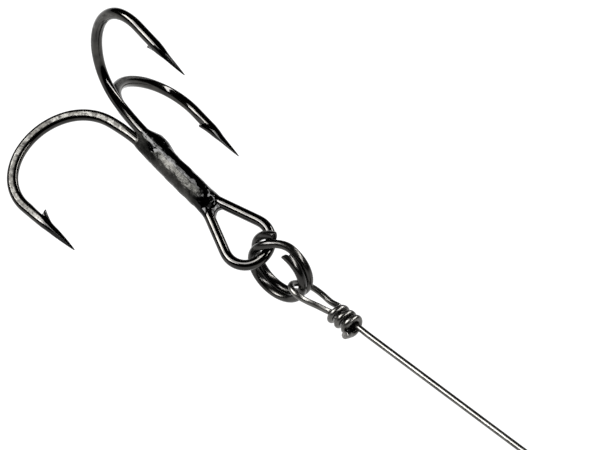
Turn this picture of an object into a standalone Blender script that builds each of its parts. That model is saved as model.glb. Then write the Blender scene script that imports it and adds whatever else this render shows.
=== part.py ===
"""Treble fishing hook lying on a table, with its split ring and a single-strand wire leader.

The hook is two bent wires. One makes two of the points and the eye between them, the other makes
the third point, and a skin of braze holds the shanks together. The split ring runs through the eye
and the leader is looped through the ring. Metres, +Z up, and the table is z = 0.
"""

import math

import bmesh
import bpy
from mathutils import Matrix, Vector

MM = 0.001

# Hook frame: x runs up the shank from the bends to the eye, azimuths turn about it.
SHANK_START = Vector((-9.57, 0.0, 9.67)) * MM
SHANK_DIP_DEG = 7.69

# Hook wires.
WIRE_RADIUS = 0.75 * MM
WIRE_SIDES = 12
SHANK_OFFSET = 0.913 * MM
BEND_START_DEG = 3.85
BEND_ARCS = ((4.9, 8.6), (6.55, 45.3), (7.95, 46.8), (3.3, 24.3), (5.95, 56.2), (9.8, -3.4))
BEND_STEP = 1.25 * MM
# Each hook: its azimuth and where its bend starts along the shank.
HOOK_A = (-149.8, 0.0)
HOOK_B = (91.0, -0.14 * MM)
HOOK_C = (-30.3, -0.30 * MM)
SINGLE_SHANK_LENGTH = 10.7 * MM

# Point and barb, as distances back from the tip.
TIP_RADIUS = 0.06 * MM
TAPER_LENGTH = 6.0 * MM
BARB_ROOT = 5.3 * MM
BARB_APEX = 6.95 * MM
BARB_NOTCH = 7.15 * MM
BARB_RECOVERY = 8.8 * MM
BARB_HEIGHT = 1.48 * MM
BARB_LEAN = 0.30 * MM
NOTCH_DEPTH = 0.22 * MM
BARB_FACING = 0.7
BARB_TURN_A_DEG = -8.0
BARB_TURN_B_DEG = 5.0
BARB_TURN_C_DEG = -15.0
POINT_STATION = 1.5 * MM
CLOSEST_STATIONS = 0.12 * MM

# Eye: a teardrop whose straight legs run tangent to a round end.
EYE_AZIMUTH_DEG = -147.9
EYE_CENTRE = 22.13 * MM
EYE_RADIUS = 3.303 * MM
EYE_ROOT = 12.94 * MM
EYE_ROOT_HALF = 0.365 * MM
EYE_SHIFT = 0.11 * MM
EYE_LEAN_DEG = 1.29
EYE_LEG_START = 3.0 * MM
EYE_SEAT_DEG = -30.0
SHANK_STRAIGHT_END = 11.4 * MM
SHANK_STEPS = 6
LEG_STEPS = 5
EYE_ARC_STEPS = 18
JOIN_STEPS = 4

# Braze skin round the shanks.
BRAZE_FROM = 0.0 * MM
BRAZE_TO = 14.2 * MM
BRAZE_STATIONS = 22
BRAZE_SIDES = 24
BRAZE_GAP = 0.08 * MM
BRAZE_THICKNESS = 0.15 * MM
BRAZE_LOOK_AROUND = 0.4 * MM
BRAZE_REACH = 3.2 * MM
LUMP_AZIMUTH_DEG = 37.8
LUMP_HEIGHT = 0.5 * MM
LUMP_RISE = (0.2 * MM, 2.1 * MM)
LUMP_FALL = (2.6 * MM, 6.0 * MM)

# Split ring: nearly two turns of flattened wire.
RING_CENTRE = Vector((17.86, 0.93, 4.95)) * MM
RING_NORMAL = Vector((-0.1775, 0.9811, 0.0775)).normalized()
RING_START = Vector((0.857, 0.1928, -0.478))
RING_RADIUS = 4.28 * MM
RING_PITCH = 1.375 * MM
RING_FIRST_DEG = 104.0
RING_SWEEP_DEG = 685.8
RING_CROSS_DEG = (292.0, 360.0)
RING_TAIL_DEG = (579.0, 656.0)
RING_TAIL_RISE = 0.86 * MM
RING_STEPS = 84
LEADER_HANG_DEG = 5.0
LEADER_HANG_RADIUS = 4.49 * MM
STRAND_AXIAL = 1.22 * MM
STRAND_RADIAL = 1.12 * MM
STRAND_CORNER = 0.30 * MM

# Leader wire: the near loop's route, its wraps, the straight run and the far loop.
LEADER_DIAMETER = 0.8 * MM
LEADER_RUN_POINT = Vector((32.62, 4.22, 1.66)) * MM
LEADER_RUN_DIRECTION = Vector((0.99876, 0.0498, 0.0)).normalized()
NEAR_LOOP_MM = (
    (24.62, 4.37, 1.87), (22.90, 4.23, 2.15), (21.25, 3.92, 2.37), (20.27, 3.15, 2.78),
    (20.06, 1.92, 3.47), (20.36, 0.72, 4.16), (21.36, -0.16, 4.54), (22.70, -0.26, 4.41),
    (23.76, 0.50, 3.78), (24.70, 1.70, 2.86), (25.85, 2.87, 1.97),
)
WRAP_RADIUS = 1.17 * MM
WRAP_PITCH = 1.30 * MM
WRAP_FIRST_X = 25.81 * MM
WRAP_TURN_DEG = 1200.0
NEAR_WRAP_STEPS = 24
FAR_WRAP_STEPS = 18
WRAP_OFFSET = Vector((0.0, -0.20, -0.05)) * MM
TAG_LENGTH = 1.7 * MM
CORE_START_X = 27.43 * MM
RUN_END_X = 67.4 * MM
RUN_STEPS = 6
FAR_LOOP_LENGTH = 7.0 * MM
FAR_LOOP_HALF = 1.9 * MM
# Far loop: how far along it and how far to its side, as shares of its length and half width.
FAR_LOOP_SHAPE = (
    (0.15, -0.2), (0.55, -0.9), (0.88, -0.75), (1.0, 0.0), (0.88, 0.75), (0.55, 0.9), (0.15, 0.5),
)


def clear_scene():
    for item in list(bpy.data.objects):
        bpy.data.objects.remove(item, do_unlink=True)


def make_material(name, colour, roughness, metallic):
    material = bpy.data.materials.new(name)
    material.use_nodes = True
    shader = material.node_tree.nodes["Principled BSDF"]
    shader.inputs["Base Color"].default_value = (*colour, 1.0)
    shader.inputs["Roughness"].default_value = roughness
    shader.inputs["Metallic"].default_value = metallic
    return material


def make_object(name, data, material, parent):
    """An object whose data is drawn in its parent's own frame."""
    item = bpy.data.objects.new(name, data)
    bpy.context.scene.collection.objects.link(item)
    item.data.materials.append(material)
    item.parent = parent
    return item


def make_empty(name, matrix):
    empty = bpy.data.objects.new(name, None)
    empty.empty_display_size = 4 * MM
    bpy.context.scene.collection.objects.link(empty)
    empty.matrix_world = matrix
    return empty


def resample(points, spacing):
    """Read a polyline again at even spacing, keeping both ends."""
    lengths = [0.0]
    for a, b in zip(points, points[1:]):
        lengths.append(lengths[-1] + (b - a).length)
    count = max(2, round(lengths[-1] / spacing))
    result = []
    index = 0
    for step in range(count + 1):
        target = lengths[-1] * step / count
        while index < len(points) - 2 and lengths[index + 1] < target:
            index += 1
        span = lengths[index + 1] - lengths[index]
        result.append(points[index].lerp(points[index + 1], (target - lengths[index]) / span))
    return result


def hermite(start, start_tangent, end, end_tangent, steps):
    """Points strictly between two ends of a cubic with the given end tangents."""
    points = []
    for step in range(1, steps):
        t = step / steps
        points.append(
            start * (2 * t**3 - 3 * t**2 + 1) + start_tangent * (t**3 - 2 * t**2 + t)
            + end * (3 * t**2 - 2 * t**3) + end_tangent * (t**3 - t**2)
        )
    return points


def smooth_through(points, steps):
    """Centripetal Catmull-Rom curve through the points."""
    ends = [points[0] * 2 - points[1], *points, points[-1] * 2 - points[-2]]
    curve = []
    for p0, p1, p2, p3 in zip(ends, ends[1:], ends[2:], ends[3:]):
        d1, d2, d3 = ((b - a).length ** 0.5 for a, b in ((p0, p1), (p1, p2), (p2, p3)))
        start = ((p1 - p0) / d1 - (p2 - p0) / (d1 + d2) + (p2 - p1) / d2) * d2
        end = ((p2 - p1) / d2 - (p3 - p1) / (d2 + d3) + (p3 - p2) / d3) * d2
        curve.append(p1)
        curve += hermite(p1, start, p2, end, steps)
    curve.append(points[-1])
    return curve


def radial(azimuth_deg):
    angle = math.radians(azimuth_deg)
    return Vector((0.0, math.cos(angle), math.sin(angle)))


def bend_points(azimuth_deg, shift):
    """Centreline of one hook from the shank's end round the bend to the tip."""
    outward = radial(azimuth_deg)
    heading = math.radians(BEND_START_DEG)
    along = shift
    away = SHANK_OFFSET
    fine = 12
    points = [Vector((along, 0.0, 0.0)) + outward * away]
    for length_mm, turn_deg in BEND_ARCS:
        piece = length_mm * MM / fine
        turn = math.radians(turn_deg) / fine
        for _ in range(fine):
            along -= math.cos(heading + turn / 2) * piece
            away += math.sin(heading + turn / 2) * piece
            heading += turn
            points.append(Vector((along, 0.0, 0.0)) + outward * away)
    return resample(points, BEND_STEP)


def eye_place(along, across):
    """A point of the eye's own plane, leaning from its root."""
    lean = math.radians(EYE_LEAN_DEG)
    side = radial(EYE_AZIMUTH_DEG)
    reach = along - EYE_ROOT
    x = EYE_ROOT + reach * math.cos(lean) - across * math.sin(lean)
    y = EYE_SHIFT + reach * math.sin(lean) + across * math.cos(lean)
    return Vector((x, 0.0, 0.0)) + side * y


def eye_points():
    """Both legs and the round end, from hook A's leg to hook C's."""
    run = EYE_CENTRE - EYE_ROOT
    distance = math.hypot(run, EYE_ROOT_HALF)
    slope = math.asin(EYE_RADIUS / distance) - math.atan2(EYE_ROOT_HALF, run)
    leg = math.sqrt(distance**2 - EYE_RADIUS**2)
    first = math.pi / 2 + slope
    upper = []
    for step in range(LEG_STEPS):
        reach = EYE_LEG_START + (leg - EYE_LEG_START) * step / LEG_STEPS
        upper.append((EYE_ROOT + reach * math.cos(slope), EYE_ROOT_HALF + reach * math.sin(slope)))
    lower = [(along, -across) for along, across in reversed(upper)]
    arc = []
    for step in range(EYE_ARC_STEPS + 1):
        angle = first - 2 * first * step / EYE_ARC_STEPS
        arc.append((EYE_CENTRE + EYE_RADIUS * math.cos(angle), EYE_RADIUS * math.sin(angle)))
    return [eye_place(along, across) for along, across in upper + arc + lower]


def shank_points(azimuth_deg, length):
    outward = radial(azimuth_deg) * SHANK_OFFSET
    return [
        Vector((length * step / SHANK_STEPS, 0.0, 0.0)) + outward for step in range(1, SHANK_STEPS + 1)
    ]


def double_wire_points():
    eye = eye_points()
    leg_a = shank_points(HOOK_A[0], SHANK_STRAIGHT_END)
    leg_c = shank_points(HOOK_C[0], SHANK_STRAIGHT_END)
    reach_a = (eye[0] - leg_a[-1]).length
    reach_c = (eye[-1] - leg_c[-1]).length
    leave_a = Vector((reach_a, 0.0, 0.0))
    arrive_c = Vector((-reach_c, 0.0, 0.0))
    enter_eye = (eye[1] - eye[0]).normalized() * reach_a
    leave_eye = (eye[-1] - eye[-2]).normalized() * reach_c
    join_a = hermite(leg_a[-1], leave_a, eye[0], enter_eye, JOIN_STEPS)
    join_c = hermite(eye[-1], leave_eye, leg_c[-1], arrive_c, JOIN_STEPS)
    points = list(reversed(bend_points(*HOOK_A)))
    points += leg_a + join_a + eye + join_c + list(reversed(leg_c))
    points += bend_points(*HOOK_C)
    return points


def single_wire_points():
    shank = list(reversed(shank_points(HOOK_B[0], SINGLE_SHANK_LENGTH)))
    return shank + bend_points(*HOOK_B)


def frames_along(points, first_normal):
    """Tangent, normal and side at each point, turned as little as possible along the path."""
    frames = []
    normal = first_normal
    for index, point in enumerate(points):
        before = points[max(index - 1, 0)]
        after = points[min(index + 1, len(points) - 1)]
        tangent = (after - before).normalized()
        normal = (normal - tangent * normal.dot(tangent)).normalized()
        frames.append((tangent, normal, tangent.cross(normal)))
    return frames


def loft(name, rings, close_ends=True):
    """A closed body through rings of equal vertex counts."""
    shape = bmesh.new()
    rows = [[shape.verts.new(corner) for corner in ring] for ring in rings]
    count = len(rows[0])
    for row, following in zip(rows, rows[1:]):
        for side in range(count):
            after = (side + 1) % count
            shape.faces.new((row[side], row[after], following[after], following[side]))
    if close_ends:
        shape.faces.new(list(reversed(rows[0])))
        shape.faces.new(rows[-1])
    else:
        for side in range(count):
            after = (side + 1) % count
            shape.faces.new((rows[-1][side], rows[-1][after], rows[0][after], rows[0][side]))
    bmesh.ops.recalc_face_normals(shape, faces=shape.faces)
    mesh = bpy.data.meshes.new(name)
    shape.to_mesh(mesh)
    shape.free()
    mesh.shade_smooth()
    mesh.set_sharp_from_angle(angle=math.radians(40))
    return mesh


def wire_radius(to_tip):
    """Full wire up to the ground point, which narrows to the tip."""
    share = min(1.0, to_tip / TAPER_LENGTH)
    return TIP_RADIUS + (WIRE_RADIUS - TIP_RADIUS) * share ** 0.85


def barb_push(to_tip):
    """How far the wire's inner edge stands out, and how far it leans back, at a distance from the tip."""
    if to_tip < BARB_ROOT or to_tip > BARB_RECOVERY:
        return 0.0, 0.0
    if to_tip <= BARB_APEX + 1e-6:
        share = (to_tip - BARB_ROOT) / (BARB_APEX - BARB_ROOT)
        return (BARB_HEIGHT - WIRE_RADIUS) * share, BARB_LEAN * share
    share = (BARB_RECOVERY - to_tip) / (BARB_RECOVERY - BARB_NOTCH)
    return -NOTCH_DEPTH * share, 0.0


def add_barb_stations(points, from_end):
    """Put path points exactly where the barb starts, peaks and is undercut."""
    ordered = list(reversed(points)) if from_end else list(points)
    distance = 0.0
    result = [ordered[0]]
    wanted = [POINT_STATION, BARB_ROOT, BARB_APEX, BARB_NOTCH, BARB_RECOVERY]
    for a, b in zip(ordered, ordered[1:]):
        span = (b - a).length
        while wanted and distance + span >= wanted[0]:
            place = a.lerp(b, (wanted.pop(0) - distance) / span)
            if (place - result[-1]).length > CLOSEST_STATIONS:
                result.append(place)
            else:
                result[-1] = place
        distance += span
        if (b - result[-1]).length > CLOSEST_STATIONS:
            result.append(b)
    return list(reversed(result)) if from_end else result


def hook_wire_rings(points, tips, first_normal):
    """Rings of a hook wire. tips holds each end's barb turn, or None where the end isn't pointed."""
    lengths = [0.0]
    for a, b in zip(points, points[1:]):
        lengths.append(lengths[-1] + (b - a).length)
    total = lengths[-1]
    rings = []
    for (tangent, normal, side), point, length in zip(
        frames_along(points, first_normal), points, lengths
    ):
        distances = []
        if tips[0] is not None:
            distances.append((length, 1.0, tips[0]))
        if tips[1] is not None:
            distances.append((total - length, -1.0, tips[1]))
        to_tip, backward, turn_deg = min(distances)
        radius = wire_radius(to_tip)
        push, lean = barb_push(to_tip)
        inward = Vector((0.0, -point.y, -point.z)).normalized()
        inward = (inward - tangent * inward.dot(tangent)).normalized()
        turn = math.radians(turn_deg)
        inward = inward * math.cos(turn) + (tangent * backward).cross(inward) * math.sin(turn)
        ring = []
        for step in range(WIRE_SIDES):
            angle = 2 * math.pi * step / WIRE_SIDES
            direction = normal * math.cos(angle) + side * math.sin(angle)
            facing = (direction.dot(inward) - BARB_FACING) / (1.0 - BARB_FACING)
            share = max(0.0, facing) if push else 0.0
            ring.append(point + direction * (radius + push * share) + tangent * backward * lean * share)
        rings.append(ring)
    return rings


def hook_wire(name, points, tips, material, parent):
    outward = Vector((0.0, points[-1].y, points[-1].z)).normalized()
    rings = hook_wire_rings(points, tips, outward)
    return make_object(name, loft(name, rings), material, parent)


def path_crossings(path, x):
    """Where a wire's centreline crosses the shank's section at x."""
    crossings = []
    for a, b in zip(path, path[1:]):
        low, high = sorted((a.x, b.x))
        if low <= x < high:
            place = a.lerp(b, (x - a.x) / (b.x - a.x))
            if math.hypot(place.y, place.z) < BRAZE_REACH:
                crossings.append(place)
    return crossings


def smooth_step(value, low, high):
    share = min(1.0, max(0.0, (value - low) / (high - low)))
    return share * share * (3 - 2 * share)


def lump(x, azimuth_deg):
    """The blob of braze that fills the fork between two of the hooks."""
    facing = max(0.0, math.cos(math.radians(azimuth_deg - LUMP_AZIMUTH_DEG)))
    return LUMP_HEIGHT * facing ** 3 * smooth_step(x, *LUMP_RISE) * (1 - smooth_step(x, *LUMP_FALL))


def outline(centres, x, radius, lumpy):
    """The rounded outline round all the wires of one section."""
    ring = []
    for step in range(BRAZE_SIDES):
        azimuth_deg = 360.0 * (step + 0.5) / BRAZE_SIDES
        normal = radial(azimuth_deg)
        furthest = max(centres, key=lambda centre: centre.dot(normal))
        reach = radius + (lump(x, azimuth_deg) if lumpy else 0.0)
        ring.append(Vector((x, furthest.y, furthest.z)) + normal * reach)
    return ring


def braze_skin(paths, material, parent):
    inner = []
    outer = []
    for step in range(BRAZE_STATIONS):
        x = BRAZE_FROM + (BRAZE_TO - BRAZE_FROM) * step / (BRAZE_STATIONS - 1)
        centres = []
        for path in paths:
            for near in (x - BRAZE_LOOK_AROUND, x, x + BRAZE_LOOK_AROUND):
                centres += path_crossings(path, near)
        inner.append(outline(centres, x, WIRE_RADIUS + BRAZE_GAP, False))
        outer.append(outline(centres, x, WIRE_RADIUS + BRAZE_GAP + BRAZE_THICKNESS, True))
    rings = outer + list(reversed(inner))
    return make_object("braze", loft("braze", rings, close_ends=False), material, parent)


def strand_section():
    """Corners of the ring wire's section: flat sides where the turns lie on each other."""
    corners = []
    for quarter in range(4):
        sign_radial = 1 if quarter in (0, 3) else -1
        sign_axial = 1 if quarter in (0, 1) else -1
        for step in range(3):
            angle = math.pi / 2 * quarter + math.pi / 4 * step
            corners.append((
                sign_radial * (STRAND_RADIAL / 2 - STRAND_CORNER) + STRAND_CORNER * math.cos(angle),
                sign_axial * (STRAND_AXIAL / 2 - STRAND_CORNER) + STRAND_CORNER * math.sin(angle),
            ))
    return corners


def ring_place(angle_deg, away, height):
    """A point of the ring's own cylinder."""
    first = (RING_START - RING_NORMAL * RING_START.dot(RING_NORMAL)).normalized()
    second = first.cross(RING_NORMAL)
    angle = math.radians(angle_deg)
    outward = first * math.cos(angle) + second * math.sin(angle)
    return RING_CENTRE + outward * away + RING_NORMAL * height


def strand_place(turned_deg, out, along):
    """A point on the ring wire, out and along from its centreline."""
    away = RING_RADIUS + RING_TAIL_RISE * smooth_step(turned_deg, *RING_TAIL_DEG)
    height = RING_PITCH * (smooth_step(turned_deg, *RING_CROSS_DEG) - 0.5)
    return ring_place(RING_FIRST_DEG - turned_deg, away + out, height + along)


def split_ring(pivot, material, parent):
    section = strand_section()
    rings = []
    for step in range(RING_STEPS + 1):
        turned = RING_SWEEP_DEG * step / RING_STEPS
        rings.append([strand_place(turned, out, along) - pivot for out, along in section])
    return make_object("split_ring", loft("split_ring", rings), material, parent)


def run_point(x):
    direction = LEADER_RUN_DIRECTION
    return LEADER_RUN_POINT + direction * ((x - LEADER_RUN_POINT.x) / direction.x)


def wraps(forward, first_x, steps):
    """Turns round the run, clockwise as they advance, and the cut end that leaves them straight."""
    turns = []
    for step in range(steps + 1):
        turned_deg = WRAP_TURN_DEG * step / steps
        centre = run_point(first_x + forward * WRAP_PITCH * turned_deg / 360.0) + WRAP_OFFSET
        turns.append(centre + radial(-turned_deg) * WRAP_RADIUS)
    tag = turns[-1] + radial(-WRAP_TURN_DEG - 90.0) * TAG_LENGTH
    return [*turns, turns[-1].lerp(tag, 0.5), tag]


def leader_points():
    """From the near wraps' cut end, through the ring, along the run and round the far loop."""
    near_wraps = wraps(1.0, WRAP_FIRST_X, NEAR_WRAP_STEPS)
    near_loop = [Vector(place) * MM for place in NEAR_LOOP_MM]
    far_first = RUN_END_X + (CORE_START_X - WRAP_FIRST_X)
    far_loop = [
        run_point(far_first + FAR_LOOP_LENGTH * share) + Vector((0.0, FAR_LOOP_HALF * side, 0.0))
        for share, side in FAR_LOOP_SHAPE
    ]
    far_wraps = wraps(-1.0, far_first, FAR_WRAP_STEPS)
    core = run_point(CORE_START_X)
    run_end = run_point(RUN_END_X)
    near = smooth_through([near_wraps[0], *near_loop, core], 2)
    far = smooth_through([run_end, *far_loop, far_wraps[0]], 2)
    run = [core.lerp(run_end, step / RUN_STEPS) for step in range(1, RUN_STEPS)]
    return list(reversed(near_wraps))[:-1] + near + run + far + far_wraps[1:]


def leader_wire(pivot, material, parent):
    curve = bpy.data.curves.new("leader_wire", "CURVE")
    curve.dimensions = "3D"
    curve.bevel_depth = LEADER_DIAMETER / 2
    curve.bevel_resolution = 2
    curve.use_fill_caps = True
    curve.twist_mode = "MINIMUM"
    points = leader_points()
    spline = curve.splines.new("POLY")
    spline.points.add(len(points) - 1)
    for target, point in zip(spline.points, points):
        target.co = (*(point - pivot), 1.0)
    return make_object("leader_wire", curve, material, parent)


def build():
    clear_scene()
    black_nickel = make_material("black_nickel_wire", (0.055, 0.052, 0.048), 0.28, 1.0)
    black_single = make_material("black_nickel_single", (0.060, 0.056, 0.052), 0.30, 1.0)
    braze = make_material("black_braze", (0.045, 0.043, 0.042), 0.50, 1.0)
    ring_steel = make_material("black_ring_steel", (0.065, 0.062, 0.060), 0.32, 1.0)
    leader_steel = make_material("bright_leader_steel", (0.33, 0.32, 0.30), 0.22, 1.0)

    dip = Matrix.Rotation(math.radians(SHANK_DIP_DEG), 4, "Y")
    hook_frame = make_empty("hook_frame", Matrix.Translation(SHANK_START) @ dip)
    double = add_barb_stations(add_barb_stations(double_wire_points(), True), False)
    single = add_barb_stations(single_wire_points(), True)
    barb_turns = (BARB_TURN_A_DEG, BARB_TURN_C_DEG)
    hook_wire("double_hook_wire", double, barb_turns, black_nickel, hook_frame)
    hook_wire("single_hook_wire", single, (None, BARB_TURN_B_DEG), black_single, hook_frame)
    braze_skin((double, single), braze, hook_frame)

    seat = math.radians(EYE_SEAT_DEG)
    seat_place = eye_place(EYE_CENTRE + EYE_RADIUS * math.cos(seat), EYE_RADIUS * math.sin(seat))
    eye_pivot = SHANK_START + dip.to_3x3() @ seat_place
    ring_frame = make_empty("ring_swing_axis", Matrix.Translation(eye_pivot))
    split_ring(eye_pivot, ring_steel, ring_frame)

    ring_pivot = ring_place(LEADER_HANG_DEG, LEADER_HANG_RADIUS, 0.0)
    leader_frame = make_empty("leader_swing_axis", Matrix.Translation(ring_pivot))
    leader_wire(ring_pivot, leader_steel, leader_frame)


build()
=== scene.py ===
"""Looks of a black treble hook with its split ring and wire leader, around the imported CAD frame.

Lengths are in millimetres in the shape functions, and become metres when a mesh is made. The
stage and the noise scales are in metres. The hook's pieces are drawn in the hook's own frame,
where x runs up the shank, and then dipped and lifted into the row frame.
"""

import math

import bmesh
import bpy
import numpy as np
from mathutils import Matrix, Vector, noise


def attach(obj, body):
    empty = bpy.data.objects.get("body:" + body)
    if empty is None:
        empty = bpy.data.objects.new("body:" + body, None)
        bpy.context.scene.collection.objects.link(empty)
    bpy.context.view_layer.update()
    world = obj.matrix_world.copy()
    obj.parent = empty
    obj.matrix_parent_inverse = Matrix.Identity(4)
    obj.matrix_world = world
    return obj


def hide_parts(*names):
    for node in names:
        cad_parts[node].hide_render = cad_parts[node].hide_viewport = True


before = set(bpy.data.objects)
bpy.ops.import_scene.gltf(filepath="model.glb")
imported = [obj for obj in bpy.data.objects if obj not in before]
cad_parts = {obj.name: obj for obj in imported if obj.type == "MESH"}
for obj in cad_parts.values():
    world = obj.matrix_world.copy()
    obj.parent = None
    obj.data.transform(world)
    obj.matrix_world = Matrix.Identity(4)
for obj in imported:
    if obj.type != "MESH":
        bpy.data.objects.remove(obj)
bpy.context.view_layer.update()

MM = 0.001

# ---- Hook wires: the same driving sizes as the CAD part -------------------------------------
SHANK_START = np.array((-9.57, 0.0, 9.67))
SHANK_DIP = math.radians(7.69)
WIRE_RADIUS = 0.75
SHANK_OFFSET = 0.913
BEND_START = math.radians(3.85)
BEND_ARCS = ((4.9, 8.6), (6.55, 45.3), (7.95, 46.8), (3.3, 24.3), (5.95, 56.2), (9.8, -3.4))
SHANK_DIRECTION = np.array((1.0, 0.0, 0.0))
SINGLE_SHANK_LENGTH = 10.7
SHANK_STRAIGHT_END = 11.4
# The forged flats rise and fall between these distances from the tip. They lie "half" away from
# the bend's plane, "slope" bevels their inner edge, and inwards of "dull_edge" they stay glossy.
HOOKS = {
    "a": {
        "azimuth": -149.8, "shift": 0.0, "barb_turn": -8.0,
        "flat_rise": (5.0, 8.0), "flat_fall": (34.5, 37.5), "dull_edge": 0.26, "slope": 0.42, "half": 0.66,
    },
    "b": {
        "azimuth": 91.0, "shift": -0.14, "barb_turn": 5.0,
        "flat_rise": (11.0, 15.0), "flat_fall": (23.0, 28.0), "dull_edge": -0.05, "slope": 0.0, "half": 0.76,
    },
    "c": {
        "azimuth": -30.3, "shift": -0.30, "barb_turn": -15.0,
        "flat_rise": (16.0, 20.0), "flat_fall": (26.0, 31.0), "dull_edge": 0.15, "slope": 0.15, "half": 0.70,
    },
}

# ---- Eye ------------------------------------------------------------------------------------
EYE_AZIMUTH = -147.9
EYE_CENTRE = 22.13
EYE_RADIUS = 3.303
EYE_ROOT = 12.94
EYE_ROOT_HALF = 0.365
EYE_SHIFT = 0.11
EYE_LEAN = math.radians(1.29)
EYE_LEG_START = 3.0

# ---- Split ring -----------------------------------------------------------------------------
RING_CENTRE = np.array((17.86, 0.93, 4.95))
RING_NORMAL = np.array((-0.1775, 0.9811, 0.0775))
RING_START = np.array((0.857, 0.1928, -0.478))
RING_RADIUS = 4.28
RING_PITCH = 1.375
RING_FIRST_DEG = 104.0
RING_SWEEP_DEG = 685.8
RING_CROSS_DEG = (292.0, 360.0)
RING_TAIL_DEG = (579.0, 656.0)
RING_TAIL_RISE = 0.86
STRAND_AXIAL = 1.22
STRAND_RADIAL = 1.12

# ---- Leader: its route is the CAD part's, and the near loop's points are in metres ------------
LEADER_DRAWN_RADIUS = 0.432
WRAP_DRAWN_RADIUS = 0.4704
LEADER_SIDES = 24
LEADER_STEP = 0.12
WRAPPED_TO = (24.5, 27.5)
LEADER_RUN_POINT = np.array((32.62, 4.22, 1.66))
LEADER_RUN_DIRECTION = np.array((0.99876, 0.0498, 0.0))
NEAR_LOOP_M = (
    (0.02462, 0.00437, 0.00187), (0.02290, 0.00423, 0.00215), (0.02125, 0.00392, 0.00237),
    (0.02027, 0.00315, 0.00278), (0.02006, 0.00192, 0.00347), (0.02036, 0.00072, 0.00416),
    (0.02136, -0.00016, 0.00454), (0.02270, -0.00026, 0.00441), (0.02376, 0.00050, 0.00378),
    (0.02470, 0.00170, 0.00286), (0.02585, 0.00287, 0.00197),
)
WRAP_RADIUS = 1.17
WRAP_PITCH = 1.30
WRAP_FIRST_X = 25.81
WRAP_TURN_DEG = 1200.0
WRAP_OFFSET = np.array((0.0, -0.20, -0.05))
WRAP_STEPS = 48
TUCK = 0.32
TUCK_DEG = (960.0, 1110.0)
TAG_LENGTH = 1.7
TAG_LEAN = 0.25
TAG_SWELL = 0.0833
TAG_SWELL_END = (0.9, 1.4)
CUT_EDGE = 0.0417
CUT_EDGE_END = (-0.02, 0.10)
CUT_FACE = 0.01
CORE_START_X = 27.43
RUN_END_X = 67.4
RUN_POINTS = 9
ROUTE_STEPS = 30
FAR_LOOP_LENGTH = 7.0
FAR_LOOP_HALF = 1.9
FAR_LOOP_SHAPE = (
    (0.15, -0.2), (0.55, -0.9), (0.88, -0.75), (1.0, 0.0), (0.88, 0.75), (0.55, 0.9), (0.15, 0.5),
)


# ============================== helpers ======================================================
SAME_POINT = 1e-6
LEAST_EXPONENT = -30.0
UNTOUCHED = -8.0


def unit(vector):
    return vector / np.linalg.norm(vector)


def smooth_step(value, low, high):
    share = np.clip((value - low) / (high - low), 0.0, 1.0)
    return share * share * (3 - 2 * share)


def path_lengths(points):
    """The length of a polyline up to each of its points."""
    return np.r_[0.0, np.cumsum(np.linalg.norm(np.diff(points, axis=0), axis=1))]


def resample(points, spacing):
    """Read a polyline again at even spacing, keeping both ends."""
    points = np.asarray(points, float)
    steps = np.linalg.norm(np.diff(points, axis=0), axis=1)
    points = points[np.r_[True, steps > SAME_POINT]]
    lengths = path_lengths(points)
    count = max(2, int(round(lengths[-1] / spacing)))
    wanted = np.linspace(0.0, lengths[-1], count + 1)
    return np.stack([np.interp(wanted, lengths, points[:, axis]) for axis in range(3)], axis=1)


def relaxed(points, rounds):
    """Ease the curvature of a finely spaced path without moving its ends."""
    points = points.copy()
    for _ in range(rounds):
        points[1:-1] = points[1:-1] * 0.5 + (points[:-2] + points[2:]) * 0.25
    return points


def hermite(start, start_tangent, end, end_tangent, steps):
    """Points strictly between two ends of a cubic with the given end tangents."""
    t = (np.arange(1, steps) / steps)[:, None]
    return list(
        start * (2 * t**3 - 3 * t**2 + 1) + start_tangent * (t**3 - 2 * t**2 + t)
        + end * (3 * t**2 - 2 * t**3) + end_tangent * (t**3 - t**2)
    )


def smooth_through(points, steps):
    """Centripetal Catmull-Rom curve through the points."""
    points = [np.asarray(point, float) for point in points]
    ends = [points[0] * 2 - points[1], *points, points[-1] * 2 - points[-2]]
    curve = []
    for p0, p1, p2, p3 in zip(ends, ends[1:], ends[2:], ends[3:]):
        d1, d2, d3 = (np.linalg.norm(b - a) ** 0.5 for a, b in ((p0, p1), (p1, p2), (p2, p3)))
        start = ((p1 - p0) / d1 - (p2 - p0) / (d1 + d2) + (p2 - p1) / d2) * d2
        end = ((p2 - p1) / d2 - (p3 - p1) / (d2 + d3) + (p3 - p2) / d3) * d2
        curve.append(p1)
        curve += hermite(p1, start, p2, end, steps)
    curve.append(points[-1])
    return np.array(curve)


def radial(azimuth_deg):
    """The direction away from the x axis at an angle from y towards z."""
    angle = math.radians(azimuth_deg)
    return np.array((0.0, math.cos(angle), math.sin(angle)))


def frames_along(points, first_normal):
    """Tangents, normals and sides, turned as little as possible along the path."""
    tangents = np.gradient(points, axis=0)
    tangents /= np.linalg.norm(tangents, axis=1)[:, None]
    normals = np.zeros_like(points)
    normal = np.asarray(first_normal, float)
    for index, tangent in enumerate(tangents):
        normal = unit(normal - tangent * (normal @ tangent))
        normals[index] = normal
    return tangents, normals, np.cross(tangents, normals)


def new_mesh(name, vertices, faces, attributes):
    """A smooth-shaded mesh from vertices in millimetres, with point attributes."""
    mesh = bpy.data.meshes.new(name)
    mesh.from_pydata((vertices * MM).tolist(), [], faces)
    for key, values in attributes.items():
        layer = mesh.attributes.new(key, "FLOAT", "POINT")
        layer.data.foreach_set("value", np.asarray(values, np.float32).reshape(-1))
    mesh.shade_smooth()
    return mesh


def add_piece(mesh, material):
    mesh.materials.append(material)
    piece = bpy.data.objects.new(mesh.name, mesh)
    bpy.context.scene.collection.objects.link(piece)
    return piece


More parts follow.
